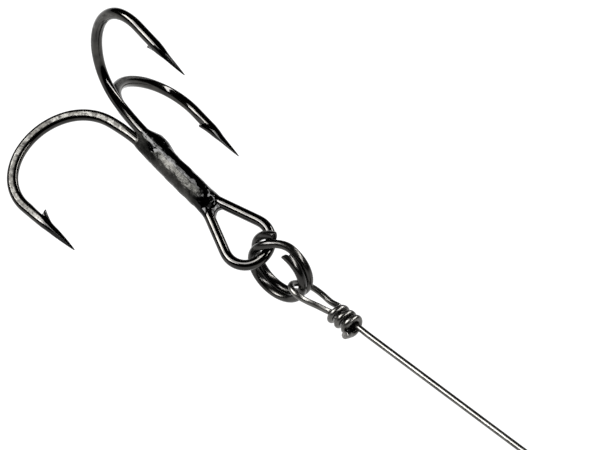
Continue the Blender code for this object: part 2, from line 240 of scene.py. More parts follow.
def loft(name, rows, attributes, material):
    """A closed body with flat ends through rows of equal vertex counts, in millimetres."""
    rows = np.asarray(rows)
    row_count, side_count, _ = rows.shape
    faces = []
    for row in range(row_count - 1):
        for side in range(side_count):
            after = (side + 1) % side_count
            faces.append((
                row * side_count + side, row * side_count + after,
                (row + 1) * side_count + after, (row + 1) * side_count + side,
            ))
    faces.append(tuple(reversed(range(side_count))))
    faces.append(tuple((row_count - 1) * side_count + side for side in range(side_count)))
    mesh = new_mesh(name, rows.reshape(-1, 3), faces, attributes)
    shape = bmesh.new()
    shape.from_mesh(mesh)
    bmesh.ops.recalc_face_normals(shape, faces=shape.faces)
    shape.to_mesh(mesh)
    shape.free()
    for cap in mesh.polygons[-2:]:
        cap.use_smooth = False
    return add_piece(mesh, material)


def to_world(points):
    """From the hook's own frame to the row frame."""
    cosine, sine = math.cos(SHANK_DIP), math.sin(SHANK_DIP)
    x, y, z = np.moveaxis(np.asarray(points), -1, 0)
    return np.stack((x * cosine + z * sine, y, z * cosine - x * sine), axis=-1) + SHANK_START


# ============================== paths of the hook wires ======================================
ARC_STEPS = 240
EYE_LEG_STEPS = 30
EYE_ARC_STEPS = 400
SHANK_STEPS = 40
SHANK_FIRST_X = 0.1
JOIN_STEPS = 16


def bend_path(hook):
    """Centreline of one hook from the shank's end round the bend to the tip."""
    outward = radial(hook["azimuth"])
    heading = BEND_START
    along = hook["shift"]
    away = SHANK_OFFSET
    points = [np.array((along, 0.0, 0.0)) + outward * away]
    for length, turn_deg in BEND_ARCS:
        piece = length / ARC_STEPS
        turn = math.radians(turn_deg) / ARC_STEPS
        for _ in range(ARC_STEPS):
            along -= math.cos(heading + turn / 2) * piece
            away += math.sin(heading + turn / 2) * piece
            heading += turn
            points.append(np.array((along, 0.0, 0.0)) + outward * away)
    return points


def eye_place(along, across):
    """A point of the eye's own plane, leaning from its root."""
    reach = along - EYE_ROOT
    x = EYE_ROOT + reach * math.cos(EYE_LEAN) - across * math.sin(EYE_LEAN)
    y = EYE_SHIFT + reach * math.sin(EYE_LEAN) + across * math.cos(EYE_LEAN)
    return np.array((x, 0.0, 0.0)) + radial(EYE_AZIMUTH) * y


def eye_path():
    """Both legs and the round end, from hook a's leg to hook c's."""
    run = EYE_CENTRE - EYE_ROOT
    distance = math.hypot(run, EYE_ROOT_HALF)
    slope = math.asin(EYE_RADIUS / distance) - math.atan2(EYE_ROOT_HALF, run)
    leg = math.sqrt(distance**2 - EYE_RADIUS**2)
    first = math.pi / 2 + slope
    upper = []
    for reach in np.linspace(EYE_LEG_START, leg, EYE_LEG_STEPS)[:-1]:
        upper.append((EYE_ROOT + reach * math.cos(slope), EYE_ROOT_HALF + reach * math.sin(slope)))
    arc = [
        (EYE_CENTRE + EYE_RADIUS * math.cos(angle), EYE_RADIUS * math.sin(angle))
        for angle in np.linspace(first, -first, EYE_ARC_STEPS)
    ]
    lower = [(along, -across) for along, across in reversed(upper)]
    return [eye_place(along, across) for along, across in upper + arc + lower]


def shank_path(azimuth_deg, length):
    """The straight part of one wire, beside the shank's axis."""
    outward = radial(azimuth_deg) * SHANK_OFFSET
    return [SHANK_DIRECTION * along + outward for along in np.linspace(SHANK_FIRST_X, length, SHANK_STEPS)]


def double_wire_path():
    """From hook a's tip along its shank, round the eye and back along hook c's shank to its tip."""
    eye = eye_path()
    leg_a = shank_path(HOOKS["a"]["azimuth"], SHANK_STRAIGHT_END)
    leg_c = shank_path(HOOKS["c"]["azimuth"], SHANK_STRAIGHT_END)
    reach_a = np.linalg.norm(eye[0] - leg_a[-1])
    reach_c = np.linalg.norm(eye[-1] - leg_c[-1])
    into_eye = unit(eye[1] - eye[0])
    out_of_eye = unit(eye[-1] - eye[-2])
    join_a = hermite(leg_a[-1], SHANK_DIRECTION * reach_a, eye[0], into_eye * reach_a, JOIN_STEPS)
    join_c = hermite(eye[-1], out_of_eye * reach_c, leg_c[-1], -SHANK_DIRECTION * reach_c, JOIN_STEPS)
    points = bend_path(HOOKS["a"])[::-1] + leg_a + join_a + eye + join_c + leg_c[::-1]
    return points + bend_path(HOOKS["c"])


def single_wire_path():
    """From the end that the braze hides to hook b's tip."""
    return shank_path(HOOKS["b"]["azimuth"], SINGLE_SHANK_LENGTH)[::-1] + bend_path(HOOKS["b"])


# ============================== hook wires ===================================================
WIRE_SIDES = 48
WIRE_STEP = 0.16
WIRE_ROUNDS = 8
STEEPEST = 0.9
TIP_RADIUS = 0.045
TAPER_LENGTH = 6.0
TAPER_POWER = 0.76
BARB_ROOT = 5.0
BARB_APEX = 6.95
BARB_NOTCH = 7.05
BARB_RECOVERY = 9.3
BARB_HEIGHT = 1.56
BARB_LEAN = 0.36
NOTCH_DEPTH = 0.20
BARB_RISE_POWER = 1.9
BARB_EDGE_POWER = 1.3
BARB_ROOT_WIDTH = 0.62
BARB_SHARPENING = 0.22
POINT_GROUND = (3.2, 5.2)
FACET_SIZE = 1.08
FACET_SHARE = 0.7
FLAT_SWELL = 0.05
FLAT_INNER = 0.26
FLAT_OUTER = 0.34
FLAT_OUTER_SLOPE = 0.55
FLAT_SHOULDER = 0.025
DULL_LIMIT = (0.93, 1.01)
DULL_FADE = 0.12
DULL_OUTER_FADE = 0.06


def wire_radius(to_tip):
    """The wire's radius at a distance from the tip, where it tapers."""
    share = np.clip(to_tip / TAPER_LENGTH, 0.0, 1.0)
    return TIP_RADIUS + (WIRE_RADIUS - TIP_RADIUS) * share**TAPER_POWER


def soft_limit(value, limit, softness):
    """value, held under limit with a rounded shoulder."""
    excess = (np.abs(value) - limit) / softness
    held = limit - softness * np.log1p(np.exp(-np.maximum(excess, LEAST_EXPONENT)))
    return np.sign(value) * np.where(excess < UNTOUCHED, np.abs(value), held)


def ground_facets(directions, plane, inward):
    """Radius factors of a point ground to four facets."""
    around = np.arctan2(directions @ plane, directions @ inward)
    return FACET_SIZE * math.cos(math.pi / 4) / np.cos((around % (math.pi / 2)) - math.pi / 4)


def forge_flats(offsets, plane, inner, hook, flatness):
    """Press both sides of the bend flat; gives the section and the share of it that is dull."""
    offsets = offsets * (1 + FLAT_SWELL / WIRE_RADIUS * flatness)
    across = offsets @ plane
    inner_bevel = np.maximum(0.0, offsets @ inner - FLAT_INNER)
    outer_bevel = np.maximum(0.0, -(offsets @ inner) - FLAT_OUTER)
    limit = hook["half"] - hook["slope"] * inner_bevel - FLAT_OUTER_SLOPE * outer_bevel
    held = soft_limit(across, limit, FLAT_SHOULDER)
    offsets = offsets + np.outer((held - across) * flatness, plane)
    dull = smooth_step(np.abs(across), limit * DULL_LIMIT[0], limit * DULL_LIMIT[1]) * flatness
    dull = dull * (1 - smooth_step(offsets @ inner, hook["dull_edge"], hook["dull_edge"] + DULL_FADE))
    dull = dull * (1 - smooth_step(outer_bevel, 0.0, DULL_OUTER_FADE))
    return offsets, dull


def raise_barb(offsets, directions, tangent, backward, inward, to_tip):
    """Lift the barb out of the wire's inner side, with the notch that was cut to raise it."""
    if to_tip <= BARB_APEX:
        share = ((to_tip - BARB_ROOT) / (BARB_APEX - BARB_ROOT)) ** BARB_RISE_POWER
        lift, lean = (BARB_HEIGHT - WIRE_RADIUS) * share, BARB_LEAN * share
    else:
        share = min(1.0, (BARB_RECOVERY - to_tip) / (BARB_RECOVERY - BARB_NOTCH))
        lift, lean = -NOTCH_DEPTH * share, 0.0
    sharpness = BARB_ROOT_WIDTH + BARB_SHARPENING * smooth_step(to_tip, BARB_ROOT, BARB_APEX)
    weight = np.clip((directions @ inward - sharpness) / (1 - sharpness), 0.0, 1.0) ** BARB_EDGE_POWER
    offsets = offsets + directions * (lift * weight)[:, None]
    return offsets + np.outer(lean * weight * backward, tangent)


def hook_wire(name, path, tips, material):
    """tips holds the hook at the path's start and at its end, or None where there's no point."""
    points = relaxed(resample(path, WIRE_STEP), WIRE_ROUNDS)
    lengths = path_lengths(points)
    total = lengths[-1]
    tangents, normals, sides = frames_along(points, unit(np.array((0.0, *points[-1][1:]))))
    angles = np.linspace(0, 2 * math.pi, WIRE_SIDES, endpoint=False)
    rows = []
    to_tip_rows = []
    forged_rows = []
    for index, point in enumerate(points):
        choices = []
        if tips[0]:
            choices.append((lengths[index], 1.0, tips[0]))
        if tips[1]:
            choices.append((total - lengths[index], -1.0, tips[1]))
        to_tip, backward, hook = min(choices, key=lambda choice: choice[0])
        tangent = tangents[index]
        flatness = smooth_step(to_tip, *hook["flat_rise"]) * (1 - smooth_step(to_tip, *hook["flat_fall"]))
        plane = unit(np.cross(SHANK_DIRECTION, radial(hook["azimuth"])))
        if abs(plane @ tangent) < STEEPEST:
            plane = unit(plane - tangent * (plane @ tangent))
        else:
            plane = normals[index]
        inward = unit(np.array((0.0, -point[1], -point[2])))
        inward = unit(inward - tangent * (inward @ tangent))
        turn = math.radians(hook["barb_turn"])
        inward = inward * math.cos(turn) + np.cross(tangent * backward, inward) * math.sin(turn)
        directions = np.outer(np.cos(angles), normals[index]) + np.outer(np.sin(angles), sides[index])
        offsets = directions * wire_radius(to_tip)
        ground = 1 - smooth_step(to_tip, *POINT_GROUND)
        if ground > 0:
            facets = ground_facets(directions, plane, inward)
            offsets = offsets * (1 + (facets - 1) * ground * FACET_SHARE)[:, None]
        dull = np.zeros(WIRE_SIDES)
        if flatness > 0:
            inner = np.cross(-tangent * backward, plane)
            offsets, dull = forge_flats(offsets, plane, inner, hook, flatness)
        if BARB_ROOT < to_tip < BARB_RECOVERY:
            offsets = raise_barb(offsets, directions, tangent, backward, inward, to_tip)
        rows.append(to_world(point + offsets))
        to_tip_rows.append(np.full(WIRE_SIDES, to_tip))
        forged_rows.append(dull)
    return loft(name, rows, {"to_tip": to_tip_rows, "forged": forged_rows}, material)


# ============================== braze ========================================================
BRAZE_FROM = -1.4
BRAZE_TO = 17.4
BRAZE_HALF = 3.1
BRAZE_CELL = 0.085
BRAZE_ROUNDS = 6
LEFT_AZIMUTH = -144.8
# Stations along the shank, and how far the filling core reaches to either side at each.
BRAZE_X = (-1.4, -0.2, 0.8, 2.0, 3.5, 6.7, 10.0, 12.3, 13.6, 14.6, 15.2, 15.8)
BRAZE_LEFT = (0.3, 0.9, 1.45, 1.60, 1.78, 1.88, 1.95, 1.86, 1.62, 1.20, 0.5, -0.6)
BRAZE_RIGHT = (0.3, 0.8, 1.20, 1.30, 1.34, 1.34, 1.42, 1.46, 1.35, 1.00, 0.5, -0.6)
BODY_INSET = 0.06
SKIN = 0.15
SKIN_RISE = (-0.6, 0.8)
SKIN_FALL = (13.6, 15.8)
SUNK = 0.05
FILL_LEAST = 0.05
FILL_MORE = 0.17
FILL_RISE = (-0.6, 1.2)
FILL_FALL = (12.8, 14.6)
LUMP_AZIMUTH = 40.0
LUMP_HEIGHT = 0.68
LUMP_RISE = (0.0, 2.2)
LUMP_FALL = (2.6, 6.4)
# A drop in the fork and a wet pool, each at a distance up the shank, an azimuth and a distance out; the pool
# is also painted darker, as painted shade.
DROP_PLACE = (2.15, 88.0, 0.86)
DROP_SIZE = (1.45, 0.98)
STUMP_LENGTH = 3.2
STUMP_SKIN = 0.10
WEB_FIRST_X = 12.0
WEB_LEAST = 0.5
WEB_MORE = 0.7
WEB_RISE = (12.8, 15.2)
CROTCH_X = 15.75
CROTCH_CURVE = 0.75
CROTCH_HALF = 0.46
CROTCH_EASE = 0.8
FAR_OUTSIDE = 4.0
SHANK_REACH = 3.6
GRAIN_ENDS = ((-0.4, 1.0), (15.4, 16.4))
# The pool turns glossy and takes a darker colour: painted shade that breaks the braze's highlight.
SHADE_POOL_PLACE = (2.9, 100.0, 1.25)
SHADE_POOL_EDGE = (1.15, 1.35)
WET_JUNCTION = (12.2, 13.6)
# The side of the braze that turns glossy and darker; the darker colour there is painted shade.
GLOSSY_SHADE_AZIMUTH = 20.0
GLOSSY_SHADE_EDGE = (-0.22, -0.12)
GLOSSY_SHADE_RAGGED = 0.16
RUNS_ALONG = 0.9
RUNS_AROUND = 1.6


def section_centres(path, x):
    """Where a wire's centreline crosses the shank's section at x, with the slope's cosine."""
    crossings = []
    before, after = path[:-1], path[1:]
    low = np.minimum(before[:, 0], after[:, 0])
    high = np.maximum(before[:, 0], after[:, 0])
    for index in np.nonzero((low <= x) & (x < high))[0]:
        a, b = before[index], after[index]
        place = a + (b - a) * (x - a[0]) / (b[0] - a[0])
        if math.hypot(place[1], place[2]) < SHANK_REACH:
            crossings.append((place[1], place[2], abs(b[0] - a[0]) / np.linalg.norm(b - a)))
    return crossings


def smooth_union(values, softness):
    """The least of several fields, rounded where they meet."""
    values = np.array(values)
    low = values.min(axis=0)
    return low - softness * np.log(np.exp(-(values - low) / softness).sum(axis=0))


def braze_section(x, paths, grid_y, grid_z):
    """Roughly the signed distance from the braze's surface in the shank's section at x."""
    skin = SKIN * smooth_step(x, *SKIN_RISE) * (1 - smooth_step(x, *SKIN_FALL)) - SUNK
    fill = FILL_LEAST + FILL_MORE * smooth_step(x, *FILL_RISE) * (1 - smooth_step(x, *FILL_FALL))
    fields = []
    for path in paths:
        for y, z, cosine in section_centres(path, x):
            fields.append((np.hypot(grid_y - y, grid_z - z) - WIRE_RADIUS) * cosine - skin)
    left = np.interp(x, BRAZE_X, BRAZE_LEFT)
    right = np.interp(x, BRAZE_X, BRAZE_RIGHT)
    centre = radial(LEFT_AZIMUTH)[1:] * (left - right) / 2
    around = np.arctan2(grid_z, grid_y) - math.radians(LUMP_AZIMUTH)
    lobe = np.maximum(0.0, np.cos(around)) ** 2
    rise = smooth_step(x, *LUMP_RISE) * (1 - smooth_step(x, *LUMP_FALL))
    body = np.hypot(grid_y - centre[0], grid_z - centre[1]) - (left + right) / 2 + BODY_INSET
    fields.append(body - LUMP_HEIGHT * lobe * rise)
    drop_x, drop_azimuth, drop_away = DROP_PLACE
    drop_reach, drop_radius = DROP_SIZE
    drop_y, drop_z = radial(drop_azimuth)[1:] * drop_away
    along_drop = (x - drop_x) * drop_radius / drop_reach
    fields.append(np.sqrt((grid_y - drop_y)**2 + (grid_z - drop_z)**2 + along_drop**2) - drop_radius)
    if x >= SINGLE_SHANK_LENGTH:
        share = (x - SINGLE_SHANK_LENGTH) / STUMP_LENGTH
        stump_y, stump_z = radial(HOOKS["b"]["azimuth"])[1:] * SHANK_OFFSET
        stump = np.hypot(grid_y - stump_y, grid_z - stump_z)
        ended = max(0.0, share - 1) * STUMP_LENGTH
        fields.append(stump - (WIRE_RADIUS + STUMP_SKIN) * math.sqrt(max(0.0, 1 - share**2)) + ended)
    eye_side = radial(EYE_AZIMUTH)[1:]
    across = grid_y * eye_side[0] + grid_z * eye_side[1] - EYE_SHIFT
    upright = -grid_y * eye_side[1] + grid_z * eye_side[0]
    wide = WEB_LEAST + WEB_MORE * smooth_step(x, *WEB_RISE)
    web = np.hypot(np.maximum(np.abs(across) - wide, 0.0), upright) - CROTCH_HALF
    end = (x - CROTCH_X - CROTCH_CURVE * across**2) * CROTCH_EASE
    fields.append(np.maximum(web, end) if x > WEB_FIRST_X else web + FAR_OUTSIDE)
    return smooth_union(fields, fill)


CELL_CORNERS = [(a, b, c) for a in (0, 1) for b in (0, 1) for c in (0, 1)]


def surface_net(field, origin, cell):
    """Vertices and quads on the zero level of a grid of values, negative inside."""
    inside = field < 0
    counts = sum(
        inside[a:a + field.shape[0] - 1, b:b + field.shape[1] - 1, c:c + field.shape[2] - 1].astype(int)
        for a, b, c in CELL_CORNERS
    )
    cells = np.argwhere((counts > 0) & (counts < len(CELL_CORNERS)))
    numbers = np.full(counts.shape, -1)
    numbers[tuple(cells.T)] = np.arange(len(cells))
    total = np.zeros((len(cells), 3))
    found = np.zeros(len(cells))
    for start in CELL_CORNERS:
        for axis in range(3):
            if start[axis]:
                continue
            finish = list(start)
            finish[axis] = 1
            low = field[tuple((cells + start).T)]
            high = field[tuple((cells + finish).T)]
            crossed = (low < 0) != (high < 0)
            share = np.where(crossed, low / np.where(crossed, low - high, 1.0), 0.0)
            place = np.array(start, float) + np.eye(3)[axis] * share[:, None]
            total += place * crossed[:, None]
            found += crossed
    vertices = origin + (cells + total / found[:, None]) * cell
    quads = []
    for axis in range(3):
        one, two = [(1, 2), (2, 0), (0, 1)][axis]
        ahead = np.roll(inside, -1, axis=axis)
        edges = np.argwhere(inside != ahead)
        edges = edges[(edges[:, one] > 0) & (edges[:, two] > 0) & (edges[:, axis] < inside.shape[axis] - 1)]
        step_one, step_two = np.eye(3, dtype=int)[one], np.eye(3, dtype=int)[two]
        corners = [edges - step_one - step_two, edges - step_two, edges, edges - step_one]
        quad = np.stack([numbers[tuple(corner.T)] for corner in corners], axis=1)
        outward = inside[tuple(edges.T)]
        quads.append(np.where(outward[:, None], quad, quad[:, ::-1]))
    return vertices, np.concatenate(quads)


# Each layer of grain is a frequency per millimetre and a height in millimetres.
RUN_STRETCH = 0.6
DIMPLES = (1.3, 0.045)
FINE_GRAINS = (3.7, 0.022)
FINE_GRAIN_RISE = (0.0, 1.5)
CLOTS = (1.3, 0.08)
FINE_CLOTS = (3.1, 0.025)
CLOT_RISE = (12.2, 14.0)
CLOT_FALL = (15.2, 16.2)


def braze_grain(x, y, z):
    """Runs, dimples and grains left by the braze, in millimetres."""
    place = Vector((x, y, z))
    stretched = Vector((x * RUN_STRETCH, y, z))

    def layer(at, frequency, height):
        return noise.noise(at * frequency) * height

    grain = layer(stretched, *DIMPLES) + layer(stretched, *FINE_GRAINS) * smooth_step(x, *FINE_GRAIN_RISE)
    clots = layer(place, *CLOTS) + layer(stretched, *FINE_CLOTS)
    return grain + clots * smooth_step(x, *CLOT_RISE) * (1 - smooth_step(x, *CLOT_FALL))


def braze_wetness_and_shade(vertices):
    """1 where the braze pooled or ran smooth, and 0 where it is granular. Where it is 1 the colour is also
    darker, which on the pool and the glossy side is painted shade.
    """
    pool_x, pool_azimuth, pool_away = SHADE_POOL_PLACE
    shade_pool = SHANK_DIRECTION * pool_x + radial(pool_azimuth) * pool_away
    pooled_shade = 1 - smooth_step(np.linalg.norm(vertices - shade_pool, axis=1), *SHADE_POOL_EDGE)
    wet_shade = np.maximum(pooled_shade, smooth_step(vertices[:, 0], *WET_JUNCTION))
    around = vertices[:, 1:]
    # Painted shade: one side of the braze turns glossy and darker, with a ragged edge.
    glossy_shade_side = around @ radial(GLOSSY_SHADE_AZIMUTH)[1:] / np.linalg.norm(around, axis=1)
    stretch = np.array((RUNS_ALONG, RUNS_AROUND, RUNS_AROUND))
    runs = np.array([noise.noise(Vector(vertex)) for vertex in vertices * stretch])
    return np.maximum(wet_shade, smooth_step(glossy_shade_side + runs * GLOSSY_SHADE_RAGGED, *GLOSSY_SHADE_EDGE))


def braze_body(material, paths):
    """The braze as the zero level of a soft union of the wires, a filling core and the eye's web."""
    fine_paths = [relaxed(resample(path, WIRE_STEP), BRAZE_ROUNDS) for path in paths]
    along = np.arange(BRAZE_FROM, BRAZE_TO, BRAZE_CELL)
    side = np.arange(-BRAZE_HALF, BRAZE_HALF, BRAZE_CELL)
    grid_y, grid_z = np.meshgrid(side, side, indexing="ij")
    field = np.stack([braze_section(x, fine_paths, grid_y, grid_z) for x in along])
    field[[0, -1]] = 1.0
    field[:, [0, -1]] = 1.0
    field[:, :, [0, -1]] = 1.0
    origin = np.array((BRAZE_FROM, -BRAZE_HALF, -BRAZE_HALF))
    vertices, quads = surface_net(field, origin, BRAZE_CELL)
    slopes = np.stack(np.gradient(field, BRAZE_CELL), axis=-1)
    nearest = np.rint((vertices - origin) / BRAZE_CELL).astype(int)
    normals = slopes[tuple(np.clip(nearest, 0, np.array(field.shape) - 1).T)]
    normals /= np.maximum(np.linalg.norm(normals, axis=1, keepdims=True), 1e-9)
    grain = np.array([braze_grain(*vertex) for vertex in vertices])
    first_end, last_end = GRAIN_ENDS
    ends = smooth_step(vertices[:, 0], *first_end) * (1 - smooth_step(vertices[:, 0], *last_end))
    wet_shade = braze_wetness_and_shade(vertices)
    vertices = vertices + normals * (grain * ends)[:, None]
    mesh = new_mesh("braze_fillet", to_world(vertices), quads.tolist(), {"wet_shade": wet_shade})
    return add_piece(mesh, material)


# ============================== split ring ===================================================
RING_STEPS = 420
RING_END_LENGTH = 0.3
RING_EDGE = ((0.0, 0.05), (0.02, 0.015), (0.05, 0.0), (0.12, 0.0), (0.22, 0.0))
STRAND_ROUND = 0.545
CORNER_POINTS = 10
FLAT_POINTS = 6
RING_CUT_LENGTH = 1.2
RING_NOTCH_DEPTH = 0.34
RING_NOTCH_PLACE = 0.08
RING_NOTCH_WIDTH = 0.12
RING_FIRST_CUT = (0.80, 0.14)
RING_LAST_CUT = (0.40, 0.16)


def ring_place(angle_deg, away, height):
    """A place at an angle round the ring, a distance from its axis and a height along it."""
    normal = unit(RING_NORMAL)
    first = unit(RING_START - normal * (RING_START @ normal))
    second = np.cross(first, normal)
    angle = math.radians(angle_deg)
    outward = first * math.cos(angle) + second * math.sin(angle)
    return RING_CENTRE + outward * away + normal * height


def strand_section(shrink):
    """Section of the ring's wire: nearly round, a little flat where the turns lie on each other."""
    corners = []
    for quarter in range(4):
        sign_radial = 1 if quarter in (0, 3) else -1
        sign_axial = 1 if quarter in (0, 1) else -1
        for angle in np.linspace(0, math.pi / 2, CORNER_POINTS) + math.pi / 2 * quarter:
            corners.append((
                sign_radial * (STRAND_RADIAL / 2 - STRAND_ROUND) + (STRAND_ROUND - shrink) * math.cos(angle),
                sign_axial * (STRAND_AXIAL / 2 - STRAND_ROUND) + (STRAND_ROUND - shrink) * math.sin(angle),
            ))
    outline = []
    for index, corner in enumerate(corners):
        outline.append(corner)
        if index % CORNER_POINTS == CORNER_POINTS - 1:
            following = corners[(index + 1) % len(corners)]
            for share in np.arange(1, FLAT_POINTS) / FLAT_POINTS:
                outline.append(tuple(a + (b - a) * share for a, b in zip(corner, following)))
    return outline


def ring_cut(from_first, from_last, up):
    """How far the snipped ends draw a point along the coil, at a height in the strand's section."""
    if from_first < RING_CUT_LENGTH:
        slant, lead = RING_FIRST_CUT
        notch = RING_NOTCH_DEPTH * math.exp(-((up - RING_NOTCH_PLACE) / RING_NOTCH_WIDTH) ** 2)
        return (notch + slant * (up / STRAND_AXIAL + 0.5) - lead) * (1 - from_first / RING_CUT_LENGTH)
    if from_last < RING_CUT_LENGTH:
        slant, lead = RING_LAST_CUT
        return (lead - slant * abs(up / STRAND_AXIAL)) * (1 - from_last / RING_CUT_LENGTH)
    return 0.0


def split_ring(material):
    """Nearly two turns of wire that cross over once, with the last end standing out a little."""
    rows = []
    degrees = 180.0 / (math.pi * RING_RADIUS)
    middle = np.linspace(RING_END_LENGTH, RING_SWEEP_DEG / degrees - RING_END_LENGTH, RING_STEPS)
    stations = [(place * degrees, shrink) for place, shrink in RING_EDGE]
    stations += [(place * degrees, 0.0) for place in middle]
    stations += [(RING_SWEEP_DEG - place * degrees, shrink) for place, shrink in reversed(RING_EDGE)]
    for turned, shrink in stations:
        row = []
        from_first = turned / degrees
        from_last = (RING_SWEEP_DEG - turned) / degrees
        for out, up in strand_section(shrink):
            place = turned + ring_cut(from_first, from_last, up) * degrees
            away = RING_RADIUS + RING_TAIL_RISE * smooth_step(place, *RING_TAIL_DEG)
            height = RING_PITCH * (smooth_step(place, *RING_CROSS_DEG) - 0.5)
            row.append(ring_place(RING_FIRST_DEG - place, away + out, height + up))
        rows.append(row)
    return loft("ring_coil", rows, {}, material)


# ============================== leader =======================================================
def run_point(x):
    """A place on the leader's straight run."""
    direction = unit(LEADER_RUN_DIRECTION)
    return LEADER_RUN_POINT + direction * ((x - LEADER_RUN_POINT[0]) / direction[0])


def wraps(forward, first_x):
    """Turns round the run, clockwise as they advance, and the tag that leaves them."""
    points = []
    for turned in np.linspace(0.0, WRAP_TURN_DEG, WRAP_STEPS + 1):
        tuck = TUCK * smooth_step(turned, *TUCK_DEG) * forward
        centre = run_point(first_x + forward * WRAP_PITCH * turned / 360.0 - tuck) + WRAP_OFFSET
        points.append(centre + radial(-turned) * WRAP_RADIUS)
    tag = points[-1] + radial(-WRAP_TURN_DEG - 90.0) * TAG_LENGTH + np.array((TAG_LEAN * forward, 0.0, 0.0))
    return points + [points[-1] + (tag - points[-1]) * 0.5, tag]


def leader_path():
    """From one tag through the wraps, the loop, the run and the other loop to the other tag."""
    near_wraps = wraps(1.0, WRAP_FIRST_X)
    near_loop = [np.array(place) / MM for place in NEAR_LOOP_M]
    far_first = RUN_END_X + CORE_START_X - WRAP_FIRST_X
    far_loop = [
        run_point(far_first + FAR_LOOP_LENGTH * share) + np.array((0.0, FAR_LOOP_HALF * side, 0.0))
        for share, side in FAR_LOOP_SHAPE
    ]
    far_wraps = wraps(-1.0, far_first)
    run = [run_point(x) for x in np.linspace(CORE_START_X, RUN_END_X, RUN_POINTS)]
    route = near_wraps[::-1] + near_loop + run + far_loop + far_wraps
    return relaxed(resample(smooth_through(route, ROUTE_STEPS), LEADER_STEP), WIRE_ROUNDS)


def leader(material):
    """The leader's wire and its centreline."""
    points = leader_path()
    tangents, normals, sides = frames_along(points, np.array((0.0, 0.0, 1.0)))
    angles = np.linspace(0, 2 * math.pi, LEADER_SIDES, endpoint=False)
    lengths = path_lengths(points)
    rows = []
    cut = []
    for index, point in enumerate(points):
        to_end = min(lengths[index], lengths[-1] - lengths[index])
        wrapped = 1 - smooth_step(to_end, *WRAPPED_TO)
        swell = TAG_SWELL * (1 - smooth_step(to_end, *TAG_SWELL_END))
        chamfer = CUT_EDGE * (1 - smooth_step(to_end, *CUT_EDGE_END))
        radius = LEADER_DRAWN_RADIUS + (WRAP_DRAWN_RADIUS - LEADER_DRAWN_RADIUS) * wrapped
        radius *= 1 + swell - chamfer
        rows.append(
            point + np.outer(np.cos(angles) * radius, normals[index])
            + np.outer(np.sin(angles) * radius, sides[index])
        )
        cut.append(np.full(LEADER_SIDES, 1.0 if to_end < CUT_FACE else 0.0))
    piece = loft("leader_strand", rows, {"cut": cut}, material)
    return piece, points


# ============================== materials ====================================================
# Colours are linear, and a pair of them goes from dark to pale. Noise scales are per metre, and
# bump heights are in millimetres. A spread is the stretch of a value over which a ramp rises.
COARSE_DETAIL = 5.0
FINE_DETAIL = 4.0
SPECK_DETAIL = 3.0
EVEN_SPREAD = (0.3, 0.7)

WIRE_MOTTLE = 520.0
WIRE_FINE = 2600.0
WIRE_SPECKS = 1500.0
WIRE_PATCHES = 900.0
WIRE_BLACK = ((0.035, 0.034, 0.033), (0.056, 0.054, 0.050))
WIRE_BLACK_SPREAD = (0.38, 0.66)
# Painted shade: the last millimetres to each tip get a darker black, so the points read dark.
POINT_SHADE_BLACK = (0.020, 0.020, 0.020)
POINT_SHADE_TO = (4.2, 7.2)
FORGED_DARK = ((0.022, 0.021, 0.020), (0.056, 0.054, 0.049))
FORGED_PALE = ((0.054, 0.053, 0.049), (0.122, 0.119, 0.111))
FORGED_SPREAD = (0.32, 0.68)
PATCH_SPREAD = (0.40, 0.62)
SPECK_BLACK = (0.020, 0.019, 0.018)
SPECK_SPREAD = (0.56, 0.68)
WIRE_ROUGH = (0.07, 0.11)
WIRE_ROUGH_FINE = (0.0, 0.04)
WIRE_FINE_SPREAD = (0.5, 0.8)
FORGED_ROUGH = (0.28, 0.40)
FORGED_ROUGH_FINE = (0.0, 0.10)
FORGED_FINE_SPREAD = (0.3, 0.8)
WIRE_GRAIN = 0.002
FORGED_GRAIN = 0.016
WIRE_SWELL = 0.006
POINT_BUMP = 0.15

BRAZE_MOTTLE = 420.0
BRAZE_GRAINS = 2200.0
BRAZE_PITS = 1500.0
PIT_SPREAD = (0.05, 0.35)
BRAZE_DULL = ((0.012, 0.012, 0.011), (0.042, 0.041, 0.038))
BRAZE_DULL_SPREAD = (0.38, 0.64)
# A darker black where the braze is wet: painted shade on the pool and on the glossy side.
BRAZE_WET_SHADE = (0.016, 0.016, 0.016)
BRAZE_ROUGH_SPREAD = (0.35, 0.65)
BRAZE_GRAIN_SPREAD = (0.35, 0.7)
BRAZE_ROUGH = (0.26, 0.36)
BRAZE_ROUGH_FINE = (0.0, 0.12)
BRAZE_SMOOTH = (0.10, 0.18)
WET_GRAIN = 0.010
DRY_GRAIN = 0.040
PIT_DEPTH = 0.010

RING_MOTTLE = 480.0
RING_FINE = 2400.0
RING_BLACK = ((0.034, 0.033, 0.032), (0.054, 0.052, 0.049))
RING_ROUGH = (0.19, 0.25)
RING_FINE_GRAIN = 0.005
RING_SWELL = 0.012

LEADER_MOTTLE = 600.0
LEADER_FINE = 3000.0
LEADER_DRAWN = ((0.080, 0.078, 0.073), (0.125, 0.122, 0.115))
LEADER_CUT = (0.42, 0.41, 0.39)
LEADER_ROUGH = (0.24, 0.30)
LEADER_FINE_GRAIN = 0.0012
LEADER_SWELL = 0.003

DRAWN_SPREAD = (0.36, 0.66)
DRAWN_FINE_SPREAD = (0.4, 0.8)
DRAWN_ROUGH_FINE = (0.0, 0.06)
BUMP_STRENGTH = 0.7
BRAZE_BUMP_STRENGTH = 0.8


